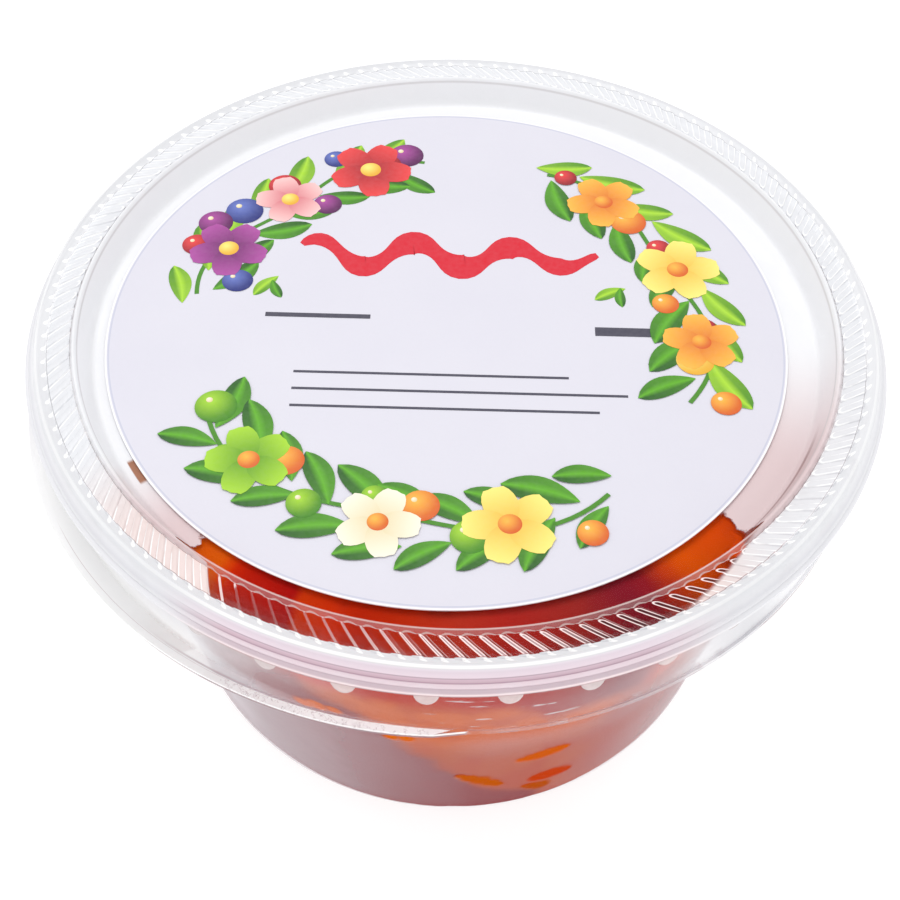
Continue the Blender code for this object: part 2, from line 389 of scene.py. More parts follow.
# %% Round the rib's ends, slant it and spin it
edit(ribs)
for end, pull in ((-RING_IN, 0.22 * MM), (-RING_OUT, -0.22 * MM)):
    pick_points(ribs, lambda p: abs(p.x) < 0.1 * MM and 0.1 * MM < abs(p.y - end) < 0.5 * MM)
    move(0, pull, 0)
bpy.ops.mesh.select_mode(type="EDGE")
bm = bmesh.from_edit_mesh(ribs.data)
top = LAND_Z + RIB_RISE
for edge in bm.edges:
    high = min(v.co.z for v in edge.verts) > top - 0.01 * MM
    edge.select = high and len({round(f.normal.z, 1) for f in edge.link_faces}) > 1
bmesh.update_edit_mesh(ribs.data)
bpy.ops.mesh.bevel(offset=0.1 * MM, segments=2, affect="EDGES")
bpy.ops.mesh.select_mode(type="VERT")
pick_points(ribs, lambda p: p.xy.length > RING_OUT - 0.05 * MM)
slanting = {"use_proportional_edit": True, "proportional_edit_falloff": "LINEAR"}
turn_round(SLANT_DEG, proportional_size=RING_OUT - RING_IN, **slanting)
everything()
phase = RIB_PHASE_DEG - SLANT_DEG
turn_round(phase)
spin_round(RIBS, 0.02 * MM)
only(ribs)
print("rib ring:", len(ribs.data.polygons), "faces")

# %% [markdown]
# ## The lid
#
# Inside the ring the lid drops as a plug with a flat floor, where the label sits. Outside it rolls over
# a bead and falls as a grooved skirt. The two turned parts start on rings that match the points of the
# rib ring, so that the three merge into one closed shell.

# %% Lid shell
EDGE_Z = 66.3
ridge = [(53.35, 69.6), (53.2, 69.93), (53.05, 70), (52.9, 69.93), (52.75, 69.7)]
plug = [(51.5, 66.9), (51.2, 66.2), (50.95, 65.9), (50.6, 65.8), (40, 65.8), (20, 65.8), (0, 65.8)]
bead = arc((57.6, 69.1), 0.9, 80, 0, 8)
skirt = [
    (58.62, 68.75), (58.85, 68.35), (59.2, 68.1), (59.28, 67.95), (59.22, 67.75), (59.42, 67.5),
    (59.5, 67.3), (59.46, 67.1), (59.8, 66.95), (60, 66.85), (60, EDGE_Z),
]
under = [
    (59.3, EDGE_Z), (59.3, 66.8), (58, 67.8), (57.8, 68.4), (57.5, 68.7), (53.2, 68.7),
    (51.8, 65.7), (51.2, 65.1), (40, 65.1), (20, 65.1), (0, 65.1),
]
inner = start_ring("lid_plug", RING_IN, LAND_Z, phase)
pull_ring((RING_IN, LAND_Z), in_metres(ridge + plug))
outer = start_ring("lid_outer", RING_OUT, LAND_Z, RIB_PHASE_DEG)
pull_ring((RING_OUT, LAND_Z), in_metres(bead + skirt + under))
lid = joined("lid_shell", ribs, inner, outer)
edit(lid, select="SELECT")
bpy.ops.mesh.remove_doubles(threshold=0.03 * MM)
outward(lid)
round_shading(lid, 40)
print("lid:", len(lid.data.polygons), "faces,", open_edges(lid), "open edges")

# %% [markdown]
# ## The label sheet
#
# The label is a thin printed film stuck to the lid's floor, a little off its centre. A flat cylinder is
# the blank. Its top face is inset twice, which keeps the shading flat right up to the sharp edge.

# %% Label sheet
LABEL_LOW, LABEL_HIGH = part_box("label")
LABEL_SHIFT = (LABEL_LOW.x + LABEL_HIGH.x) / 2
LABEL_RADIUS = (LABEL_HIGH.x - LABEL_LOW.x) / 2
LABEL_THICK = LABEL_HIGH.z - LABEL_LOW.z
label_middle = Vector((LABEL_SHIFT, 0, LABEL_LOW.z + LABEL_THICK / 2))
blank = {"vertices": STEPS, "radius": LABEL_RADIUS, "depth": LABEL_THICK, "location": label_middle}
label = added("label_sheet", bpy.ops.mesh.primitive_cylinder_add, **blank)
edit(label)
pick_points(label, lambda p: p.z > label_middle.z)
bpy.ops.mesh.inset(thickness=0.12 * MM)
bpy.ops.mesh.inset(thickness=3 * MM)
only(label)
round_shading(label, 30)
print("label is", round(LABEL_RADIUS * 2000, 1), "mm across")

# %% [markdown]
# ## The print on the label
#
# The print is a design of its own: three bouquets of leaves, blossoms and berries round a plain middle
# with a red wave. Ink has no thickness to speak of, so each motif is a flat shape a hair above the sheet.
# Leaf, petal and berry are modelled once. A copy is turned, placed and inked, and a shade number on its
# points, dark at the rim and light inside, keeps the drawing soft without any picture.

# %% Master motifs
leaf = added("leaf", bpy.ops.mesh.primitive_grid_add, x_subdivisions=12, y_subdivisions=4, size=2)
edit(leaf)
for column in range(13):
    along = -1 + column / 6
    width = 0.4 * max(math.sin(math.pi * (column / 12) ** 0.85), 0.01) ** 0.8
    pick_points(leaf, lambda p: abs(p.x - along) < 0.02)
    resize(1, width, centre=(along, 0, 0))
    move(0, 0.1 * math.sin(math.pi * column / 12), 0)
disc = {"radius": 1, "fill_type": "TRIFAN"}
petal = added("petal", bpy.ops.mesh.primitive_circle_add, vertices=20, **disc)
edit(petal, select="SELECT")
resize(0.5, 0.36)
move(0.52, 0, 0)
pick_points(petal, lambda p: p.x > 0.95)
move(-0.07, 0, 0)
berry = added("berry", bpy.ops.mesh.primitive_circle_add, vertices=28, **disc)
edit(berry, select="SELECT")
bpy.ops.mesh.subdivide(number_cuts=2)
only(None)
print("motifs:", [len(master.data.polygons) for master in (leaf, petal, berry)], "faces")

# %% Shades of the motifs
def set_points(obj, name, rule):
    """Stores a number on each point, by a rule on its place."""
    numbers = obj.data.attributes.new(name, "FLOAT", "POINT")
    numbers.data.foreach_set("value", [rule(vertex.co) for vertex in obj.data.vertices])


def leaf_shade(co):
    centre = 0.1 * math.sin(math.pi * (co.x + 1) / 2)
    return 1 if abs(co.y - centre) < 0.01 else (0.55 if co.y > centre else 0.25) + 0.2 * co.x


set_points(leaf, "shade", leaf_shade)
set_points(petal, "shade", lambda co: 0.15 + 0.85 * min(co.x, 1))
set_points(berry, "shade", lambda co: max(0, 1 - (co.xy - Vector((-0.3, 0.35))).length / 1.25))
print("shades set")

# %% Inks and stamping
INKS = {
    "leaf": ((0.006, 0.075, 0.004), (0.12, 0.44, 0.01)),
    "lime": ((0.05, 0.24, 0.004), (0.42, 0.74, 0.03)),
    "scarlet": ((0.64, 0.006, 0.022), (0.74, 0.01, 0.03)),
    "red": ((0.28, 0.004, 0.012), (0.88, 0.06, 0.06)),
    "pink": ((0.62, 0.06, 0.11), (0.97, 0.62, 0.6)),
    "plum": ((0.09, 0.006, 0.08), (0.46, 0.08, 0.38)),
    "blue": ((0.012, 0.02, 0.18), (0.16, 0.22, 0.62)),
    "orange": ((0.7, 0.11, 0.006), (1, 0.52, 0.06)),
    "yellow": ((0.82, 0.42, 0.02), (1, 0.88, 0.22)),
    "cream": ((0.78, 0.64, 0.34), (0.98, 0.94, 0.78)),
    "slate": ((0.06, 0.058, 0.085), (0.075, 0.07, 0.1)),
}
PRINT_Z = LABEL_HIGH.z / MM + 0.02
stamped = []


def ink_points(mesh, ink):
    """Mixes the ink's dark and light by the shade of each point."""
    dark, light = (Vector(colour) for colour in INKS[ink])
    colours = mesh.color_attributes.new("ink", "FLOAT_COLOR", "POINT")
    for item, shade in zip(colours.data, mesh.attributes["shade"].data):
        item.color = (*dark.lerp(light, min(max(shade.value, 0), 1)), 1)


def stamp(master, ink, place, size, turn=0):
    """Lays a copy of a motif on the label at (x, y) millimetres from its centre, each on a layer of its own."""
    layer = PRINT_Z + 0.0012 * len(stamped)
    copy = bpy.data.objects.new("stamp", master.data.copy())
    bpy.context.scene.collection.objects.link(copy)
    ink_points(copy.data, ink)
    at = Vector((LABEL_SHIFT + place[0] * MM, place[1] * MM, layer * MM))
    copy.data.transform(Matrix.Translation(at) @ Matrix.Rotation(turn, 4, "Z") @ Matrix.Scale(size * MM, 4))
    stamped.append(copy)


def round_label(angle_deg, radius):
    angle = math.radians(angle_deg)
    return (radius * math.cos(angle), radius * math.sin(angle))


print(len(INKS), "inks")

# %% Ribbons: stems, the wave and the rules
def ribbon(ink, middle, half_width, count=24, shade=0.5):
    """A flat band along middle(t), t from 0 to 1, its half width given by half_width(t)."""
    band = added("band", bpy.ops.mesh.primitive_grid_add, x_subdivisions=count, y_subdivisions=2, size=2)
    for vertex in band.data.vertices:
        t, across = (vertex.co.x + 1) / 2, vertex.co.y
        here, ahead = Vector(middle(t)), Vector(middle(t + 0.002))
        along = (ahead - here).normalized()
        spot = here + Vector((-along.y, along.x)) * across * half_width(t)
        vertex.co = (spot.x, spot.y, 0)
    set_points(band, "shade", lambda co: shade)
    stamp(band, ink, (0, 0), 1)
    bpy.data.objects.remove(band)


def wave(t):
    return (-22 + 44 * t, 14.5 + 2.6 * math.sin(t * 6 * math.pi + 0.6) * (1.15 - 0.5 * t))


def wave_width(t):
    return 0.5 + 1.5 * math.sin(math.pi * t) ** 0.5 * (1 + 0.45 * math.sin(t * 12 * math.pi))


ribbon("scarlet", wave, wave_width, 72)
for line, (left, right) in enumerate(((-21, 17), (-21, 25), (-21, 21))):
    level = -9.5 - 3.1 * line
    ribbon("slate", lambda t: (left + (right - left) * t, level), lambda t: 0.22, 4)
ribbon("slate", lambda t: (-26 + 15 * t, 1.4), lambda t: 0.42, 4)
ribbon("slate", lambda t: (21 + 10 * t, -0.4), lambda t: 0.85, 4)
for side, turn in ((-26.5, 0.9), (23.5, 0.5)):
    stamp(leaf, "lime", (side, 7.2), 2.6, turn)
    stamp(leaf, "leaf", (side + 1.6, 6.6), 2, turn + 1.1)
print(len(stamped), "stamps in the middle")

# %% Bouquets
print_rng = random.Random(23)
WREATH = 36
BOUQUETS = (
    (97, 172, ("red", "pink", "plum"), ("plum", "red", "blue"), ("leaf", "lime")),
    (-22, 66, ("orange", "yellow", "orange"), ("orange", "yellow", "red"), ("leaf", "lime")),
    (206, 306, ("lime", "cream", "yellow"), ("lime", "lime", "orange"), ("leaf", "leaf")),
)


def blossom(ink, heart, place, size, turn):
    for index in range(5):
        stamp(petal, ink, place, size, turn + index * math.radians(72))
    stamp(berry, heart, place, size * 0.24)


for first, last, blossoms, berries, leaves in BOUQUETS:
    span = last - first
    ribbon("leaf", lambda t: round_label(first + span * t, WREATH + 1.6 * math.sin(9 * t)), lambda t: 0.32, 40)
    count = int(span / 5.2)
    for index in range(count):
        angle = first + span * (index + 0.5) / count
        side = 1 if index % 2 else -1
        spot = round_label(angle + print_rng.uniform(-1, 1), WREATH + side * print_rng.uniform(3, 4.6))
        turn = math.radians(angle + 90 + side * print_rng.uniform(20, 48))
        stamp(leaf, leaves[index % 2], spot, print_rng.uniform(3.8, 5.4), turn)
    for index, ink in enumerate(berries * 3):
        angle = first + span * (index + 0.35) / 9 + print_rng.uniform(-2, 2)
        spot = round_label(angle, WREATH + print_rng.uniform(-5, 5))
        size = print_rng.uniform(1.7, 2.9)
        stamp(berry, ink, spot, size)
        stamp(berry, "cream", (spot[0] - size * 0.35, spot[1] + size * 0.38), size * 0.16)
    for index, ink in enumerate(blossoms):
        angle = first + span * (0.2 + 0.3 * index) + print_rng.uniform(-2, 2)
        size = print_rng.uniform(5.4, 6.8)
        heart = "yellow" if ink in ("red", "pink", "plum") else "orange"
        blossom(ink, heart, round_label(angle, WREATH), size, print_rng.uniform(0, 1.2))
print(len(stamped), "stamps in all")

# %% One sheet of print
ink_sheet = joined("label_print", *stamped)
for master in (leaf, petal, berry):
    bpy.data.objects.remove(master)
edit(ink_sheet, select="SELECT")
bpy.ops.mesh.remove_doubles(threshold=0.0004 * MM)
thicken(ink_sheet, 0.001 * MM, False)
print("print:", len(ink_sheet.data.polygons), "faces")

# %% [markdown]
# ## The papaya
#
# Cut fruit settles against the wall and piles up under the lid, and its juice and pulp fill the gaps.
# Each chunk starts as a cube, is stretched and skewed by its corners, and gets rounded edges: a knife
# leaves flat faces, and soft flesh no sharp edge. Chunks stand in rings, three at the wall and one layer
# on top, and a turned core fills the rest. A single lump with a rough surface would be quicker, but the
# chunks give the heap its real outline under the lid.

# %% Room inside the tub
# A clear wall shows what it touches as if it lay on the outer side, so the fruit reaches into the wall.
INTO_WALL = 0.68
FRUIT_TOP = 65.2
FRUIT_BOTTOM = 0.4


def inner_radius(height):
    """Radius of the tub's inner wall at a height, both in millimetres."""
    side = BODY[::-1]
    for (low_r, low_z), (high_r, high_z) in zip(side, side[1:]):
        if height <= high_z:
            return low_r + (high_r - low_r) * max(height - low_z, 0) / (high_z - low_z) - WALL
    return side[-1][0] - WALL


print("room at mid height:", round(inner_radius(35), 1), "mm radius")

# %% Where the chunks lie
CHUNK = 21
FRONT_RISE, FRONT_HALF_DEG = 5.5, 45
rng = random.Random(41)


def in_front(angle):
    return from_front(Vector((math.cos(angle), math.sin(angle)))) < FRONT_HALF_DEG


def angles(count, stray):
    """Angles spread round the tub, each a little off, drawn as they are asked for."""
    start = rng.uniform(0, 2 * math.pi)
    for index in range(count):
        yield start + (index + rng.uniform(-stray, stray)) * 2 * math.pi / count


places = []
for height, count in ((10, 10), (29, 11), (48, 12)):
    for angle in angles(count, 0.15):
        centre_z = height + rng.uniform(-2.5, 2.5)
        radius = inner_radius(centre_z) - CHUNK * rng.uniform(0.4, 0.52)
        places.append((radius, angle, centre_z, CHUNK * rng.uniform(0.85, 1.1)))
for ring_radius, count in ((0, 1), (18, 6), (37, 11)):
    for angle in angles(count, 0.12):
        centre_z = 70 + rng.uniform(-19, -17)
        if in_front(angle) and ring_radius > 0:
            centre_z += FRONT_RISE
        places.append((ring_radius, angle, centre_z, CHUNK * rng.uniform(0.9, 1.15)))
print(len(places), "chunks")

# %% One chunk
edge_rng = random.Random(7)


def cut_chunk(index, place):
    """A cube at its place, stretched, skewed at its corners, tilted, rounded and slightly swollen."""
    radius, angle, height, size = place
    chunk = added(f"chunk_{index}", bpy.ops.mesh.primitive_cube_add, size=size * MM)
    edit(chunk, select="SELECT")
    resize(rng.uniform(0.8, 1.1), rng.uniform(0.85, 1.15), rng.uniform(0.75, 1))
    corners = bmesh.from_edit_mesh(chunk.data)
    for corner in corners.verts:
        corner.co += Vector([rng.uniform(-0.07, 0.07) * size * MM for _ in range(3)])
    bmesh.update_edit_mesh(chunk.data)
    tilt = Euler([rng.uniform(-0.45, 0.45), rng.uniform(-0.45, 0.45), 0])
    turn = Matrix.Rotation(angle + rng.uniform(-0.5, 0.5), 4, "Z")
    everything()
    bpy.ops.mesh.bevel(offset=edge_rng.uniform(1.2, 2.6) * MM, segments=3, affect="EDGES")
    everything()
    bpy.ops.mesh.subdivide(number_cuts=2, smoothness=0.25)
    only(chunk)
    at = Vector((radius * math.cos(angle), radius * math.sin(angle), height)) * MM
    chunk.matrix_world = Matrix.Translation(at) @ turn @ tilt.to_matrix().to_4x4()
    bpy.ops.object.transform_apply()
    return chunk


chunks = [cut_chunk(index, place) for index, place in enumerate(places)]
print("first chunk:", len(chunks[0].data.polygons), "faces")

# %% Core of the heap
CORE_START = (10, 55.6)
CORE_BACK, BACK_FROM_DEG, BACK_SLOPE_DEG = 57, 48, 14
core = start_ring("papaya_core", *in_metres([CORE_START])[0])
core_top = [(30, 56.6), (41, 60), (44, FRUIT_TOP), (50.8, 65.3)]
core_heights = [61.5] + [60 - 1.5 * step for step in range(38)] + [3.5, 2.6, 1.9, 1.3, 0.8]
core_side = [(inner_radius(height) + 0.5, height) for height in core_heights]
core_floor = [(FOOT_FLAT, FRUIT_BOTTOM), (0, FRUIT_BOTTOM)]
pull_ring(in_metres([CORE_START])[0], in_metres(core_top + core_side + core_floor))
pick_points(core, lambda p: p.xy.length < CORE_START[0] * MM + 0.1 * MM and p.z > 50 * MM)
bpy.ops.mesh.edge_face_add()
bpy.ops.mesh.poke()
outward(core)
for vertex in core.data.vertices:
    sunk = min(max((from_front(vertex.co) - BACK_FROM_DEG) / BACK_SLOPE_DEG, 0), 1)
    if vertex.co.z > CORE_BACK * MM:
        vertex.co.z -= (vertex.co.z - CORE_BACK * MM) * sunk
print("core:", open_edges(core), "open edges")

# %% [markdown]
# ## Pressing the fruit against the plastic
#
# Soft fruit is flattened where it leans on plastic, and no air is left between. Cloth or soft body could
# work that out, but the room is round, so each point that comes near the wall, the lid or the base is
# simply brought to it. A fine noise takes the machine flatness off first. Each chunk stops a hair short
# of the one before, because two faces at the same place would turn black.

# %% Pressing the chunks against the plastic
# Dents of the cut faces: how fine they are and how deep in millimetres.
DENTS = ((260, 0.5), (700, 0.22))


def pressed(place, slack):
    """The point, in millimetres, brought back to what it leans on: wall, lid or base."""
    place.z = min(max(place.z, FRUIT_BOTTOM + slack), FRUIT_TOP - slack)
    limit = inner_radius(place.z) + INTO_WALL - slack
    if place.xy.length > limit - 1:
        place.xy = place.xy.normalized() * limit
    return place


for index, piece in enumerate([core] + chunks):
    slack = 0.05 + 0.003 * index if index else 0
    points = []
    for vertex in piece.data.vertices:
        bump = sum(noise.noise(vertex.co * fineness) * depth for fineness, depth in DENTS)
        points.extend(pressed(vertex.co / MM + vertex.normal * bump, slack) * MM)
    piece.data.vertices.foreach_set("co", points)
    piece.data.update()
print("pressed", len(chunks) + 1, "pieces")

# %% [markdown]
# ## One heap
#
# The chunks become one piece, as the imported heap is. A number that each point carries tells the finish
# how ripe its chunk is, so the chunks can differ although they share one material.

# %% One heap of chunks
ripe_rng = random.Random(19)
for piece in [core] + chunks:
    level = ripe_rng.random()
    set_points(piece, "ripeness", lambda co: level)
fruit = joined("papaya_heap", core, *chunks)
round_shading(fruit, 50)
print("heap:", len(fruit.data.polygons), "faces")

# %% [markdown]
# ## Writing finishes
#
# A finish is a graph of nodes. Drawn by hand it is a web of wires; in code it reads better as sums. The
# small class below wraps the output of a node, so that a + b puts in a Math node, and every other node
# comes from one method that takes its type, its settings and what goes into its sockets.

# %% Numbers that vary over the surface
class Number:
    def __init__(self, finish, socket):
        self.finish, self.socket = finish, socket

    def math(self, operation, *others):
        inputs = dict(enumerate((self, *others)))
        return self.finish.number("ShaderNodeMath", {"operation": operation}, inputs)

    def __add__(self, other):
        return self.math("ADD", other)

    def __sub__(self, other):
        return self.math("SUBTRACT", other)

    def __rsub__(self, other):
        return self.math("MULTIPLY_ADD", -1, other)

    def __mul__(self, other):
        return self.math("MULTIPLY", other)

    def __truediv__(self, other):
        return self.math("DIVIDE", other)

    def __pow__(self, other):
        return self.math("POWER", other)

    __radd__ = __add__
    __rmul__ = __mul__

    def unsigned(self):
        return self.math("ABSOLUTE")

    def rise(self, low, high):
        """0 below low, 1 above high, and a soft step between them."""
        inputs = {"Value": self, "From Min": low, "From Max": high}
        return self.finish.number("ShaderNodeMapRange", {"interpolation_type": "SMOOTHSTEP"}, inputs)

    def band(self, low, high, soft):
        """1 between low and high, fading over soft on both sides."""
        return self.rise(low - soft, low + soft) * (1 - self.rise(high - soft, high + soft))


print("numbers ready")

# %% Finish under the pen
class Finish:
    """A material that is being written; its vector is where the point is, in millimetres."""

    def __init__(self, name):
        self.material = bpy.data.materials.new(name)
        self.material.use_nodes = True
        self.tree = self.material.node_tree
        self.tree.nodes.clear()
        coordinates = self.add("ShaderNodeTexCoord").outputs["Object"]
        scaled = self.add("ShaderNodeVectorMath", {"operation": "SCALE"}, {0: coordinates, "Scale": 1000})
        self.vector = scaled.outputs[0]

    def add(self, kind, settings=None, inputs=None):
        node = self.tree.nodes.new(kind)
        for key, value in (settings or {}).items():
            setattr(node, key, value)
        for key, value in (inputs or {}).items():
            value = getattr(value, "socket", value)
            if isinstance(value, bpy.types.NodeSocket):
                self.tree.links.new(value, node.inputs[key])
            else:
                node.inputs[key].default_value = value
        return node

    def number(self, kind, settings=None, inputs=None, out=0):
        return Number(self, self.add(kind, settings, inputs).outputs[out])

    def place(self):
        """The three numbers of the vector."""
        parts = self.add("ShaderNodeSeparateXYZ", inputs={0: self.vector})
        return [Number(self, parts.outputs[i]) for i in range(3)]

    def turned_place(self):
        """The place, then its radius from the axis and its angle round it in degrees."""
        x, y, z = self.place()
        return x, y, z, (x * x + y * y) ** 0.5, y.math("ARCTAN2", x) * (180 / math.pi)

    def noise(self, scale, detail=2, roughness=0.5, vector=None):
        vector = self.vector if vector is None else vector
        inputs = {"Vector": vector, "Scale": scale, "Detail": detail, "Roughness": roughness}
        return self.number("ShaderNodeTexNoise", inputs=inputs)

    def colour(self, factor, first, second):
        """A blend of two colours."""
        first, second = ((*c, 1) if isinstance(c, tuple) else c for c in (first, second))
        settings = {"data_type": "RGBA", "blend_type": "MIX"}
        return self.add("ShaderNodeMix", settings, {0: factor, 6: first, 7: second}).outputs[2]

    def ramp(self, value, stops):
        """A colour, or a grey that stands for a number, read off a row of stops (at, colour)."""
        low, high = stops[0][0], stops[-1][0]
        node = self.add("ShaderNodeValToRGB", inputs={0: (value - low) / (high - low)})
        for _ in stops[2:]:
            node.color_ramp.elements.new(0.5)
        for element, (at, level) in zip(node.color_ramp.elements, stops):
            element.position = (at - low) / (high - low)
            element.color = (*level, 1) if isinstance(level, tuple) else (level, level, level, 1)
        return node.outputs[0]

    def bump(self, height, strength, distance):
        inputs = {"Height": height, "Strength": strength, "Distance": distance}
        return self.add("ShaderNodeBump", inputs=inputs).outputs[0]

    def surface(self, colour, roughness, extra):
        inputs = {"Base Color": colour, "Roughness": roughness, **extra}
        return self.add("ShaderNodeBsdfPrincipled", inputs=inputs).outputs[0]

    def mixed(self, factor, first, second):
        return self.add("ShaderNodeMixShader", inputs={0: factor, 1: first, 2: second}).outputs[0]

    def done(self, shader):
        self.add("ShaderNodeOutputMaterial", inputs={"Surface": shader})
        return self.material


print("finishes ready")

# %% [markdown]
# ## Clear plastic
#
# Real glass nodes bend light and turn dark in a thin wall, and they are slow. A thin clear wall hardly
# bends light, so here it is see-through plastic mixed with a milky one, by a haze that is painted by
# place, and a sharp gleam that grows at grazing angles lies over both.

# %% Clear plastic shader
GLEAM_GROWTH = 0.22


def clear_plastic(finish, haze, milk_colour, normal=None, gleam_level=0, gleam_growth=GLEAM_GROWTH):
    """See-through plastic under a milky haze; a gleam level above 0 adds the outer side's reflection."""
    see_through = finish.add("ShaderNodeBsdfTransparent", inputs={"Color": (0.985, 0.986, 0.99, 1)}).outputs[0]
    leaning = {"Normal": normal} if normal else {}
    milk = finish.surface(milk_colour, 0.4, {"Specular IOR Level": 0.3, **leaning})
    body = finish.mixed(haze, see_through, milk)
    if gleam_level:
        gleam = finish.surface((1, 1, 1, 1), 0.09, {"Metallic": 1, **leaning})
        turned_away = finish.number("ShaderNodeLayerWeight", inputs={"Blend": 0.5, **leaning}, out=1)
        body = finish.mixed(turned_away ** 5 * gleam_growth + gleam_level, body, gleam)
    return finish.done(body)


def plain_clear(name, haze, colour):
    """The other side of a wall: nearly clear, with a faint haze that drifts."""
    finish = Finish(name)
    return clear_plastic(finish, finish.noise(0.12, 3) * (2 * haze), (*colour, 1))


print("clear plastic ready")

# %% [markdown]
# ## The lid's finish
#
# Over the fruit in front, the lid is wet inside and so quite clear. Elsewhere it is fogged white, a
# little pink where fruit shines through. Each rib shows a painted highlight as a bright outline with a
# round inner end and, in front, painted shade beside it; the ridge carries painted highlights and the
# recess wall painted shade; the rolled edge shows pale lilac bands between thin lines of painted
# reflection, so the haze and its colour follow the profile.
# Angles are in degrees round the tub, with the front at -85, and radii and heights in millimetres.

# %% Where the lid is clear
SLANT = SLANT_DEG * MM / (RING_OUT - RING_IN)
RIB_SPACING = 2.4


def lid_clear_zone(finish, radius, around):
    """1 where the lid is clear: over the front, wider at the floor than at the ring, with ragged ends."""
    ragged = (finish.noise(0.5, 4, 0.6) - 0.5) * 5
    ring = radius.rise(52.9, 53.3)
    along_ribs = around + (RING_OUT / MM - radius) * SLANT
    past_left = (around + 129.5 + ragged) * (1 - ring) + (along_ribs + 119.9) * ring
    ring_end = ring * 6 + ring * (radius - 54) * 4.1
    past_right = (around + ring_end + ragged * (1 - ring * 0.7)) * -1 - 43
    return past_left.rise(-0.25, 0.25) * (past_right / (ring * 1.2 + 0.4)).rise(-1, 1)


def rib_lines(radius, around, clear):
    """Where the point is between two ribs, its distance from the rib's middle, the outline and the core."""
    slanted = around + (90 - RIB_PHASE_DEG + SLANT * RING_OUT / MM) - radius * SLANT
    step = slanted / TILE_DEG
    share = (step + 0.5).math("FLOORED_MODULO", 1) - 0.5
    across = share * RIB_SPACING
    inner_end = around.rise(-100, -60) * 0.4 + 54
    beyond = (inner_end - radius).math("MAXIMUM", 0)
    from_rib = (across * across + beyond * beyond) ** 0.5
    opening = around.rise(-106, -82) * 0.17 + around.rise(-78, -62) * 0.08 + 0.1
    half_gap = clear * opening + (1 - clear) * 0.62
    outline = 1 - (from_rib - half_gap).unsigned().rise(0.07, 0.14)
    core = 1 - from_rib.rise(half_gap * 0.55, half_gap * 0.9)
    return share, across, outline, core


print("lid zones ready")

# %% Fog and ridge of the lid
def fogged_lid(finish, radius, around, near, on_land):
    """The fog's colour, pinker near the clear zone, with painted shade in the recess and at the ridge's feet,
    with one clear patch, and how clear that patch is.
    """
    patch = around.band(-148.6, -143.8, 0.4) * radius.band(49.05, 50.05, 0.1)
    milk = finish.colour(near * (1 - on_land), (0.89, 0.895, 0.92), (0.74, 0.59, 0.6))
    milk = finish.colour(patch, milk, (0.42, 0.18, 0.1))
    # Painted shade: the plug's wall at the right front is darkened, and thin grey lines mark the feet of the
    # ridge.
    recess_shade = radius.band(51.65, 52, 0.08) * 0.5 + radius.band(51.7, 52.7, 0.15) * 0.25
    milk = finish.colour(recess_shade * around.band(-46, -24, 5), milk, (0.2, 0.07, 0.065))
    ridge_shade_lines = radius.band(52.55, 52.68, 0.04) + radius.band(53.42, 53.52, 0.03)
    return finish.colour(ridge_shade_lines * 0.5, milk, (0.55, 0.52, 0.53)), patch


def ridge_lines(share, radius):
    """Painted highlights: a band along the top of the ridge and, outside it, a curved band over each groove,
    with a faint film inside it.
    """
    cusp = 1 - share.unsigned() * 2
    arch = radius - cusp * cusp * 0.35
    film = radius.rise(53.15, 53.2) * (1 - arch.rise(53.36, 53.4)) * 0.2
    return radius.band(52.95, 53.17, 0.05) * 0.62, arch.band(53.36, 53.5, 0.05) * 0.6 + film


print("fog ready")

# %% Ribs and rolled edge of the lid
# Colours of the rolled edge by height, at the sides and in front. The dark stops at the grooves and edges are
# painted reflections and the brightest stops painted highlights.
OUTER_SIDE = [
    (66.3, (0.84, 0.84, 0.87)), (67.1, (0.79, 0.79, 0.82)), (67.3, (0.84, 0.84, 0.87)),
    (68.1, (0.74, 0.74, 0.78)), (68.4, (0.82, 0.82, 0.85)), (69.7, (0.77, 0.78, 0.81)),
]
OUTER_FRONT = [
    (66.3, (0.4, 0.24, 0.25)), (66.45, (0.6, 0.46, 0.48)), (66.6, (0.92, 0.77, 0.79)),
    (66.8, (0.96, 0.82, 0.84)), (66.92, (0.62, 0.51, 0.56)), (67.1, (0.68, 0.56, 0.62)),
    (67.4, (0.88, 0.75, 0.81)), (67.9, (0.86, 0.72, 0.79)), (68.05, (0.4, 0.26, 0.33)),
    (68.14, (0.63, 0.46, 0.54)), (68.32, (0.71, 0.55, 0.63)), (68.4, (0.46, 0.34, 0.41)),
    (68.5, (0.9, 0.78, 0.86)), (69.2, (0.82, 0.72, 0.8)), (69.7, (0.88, 0.82, 0.89)),
]


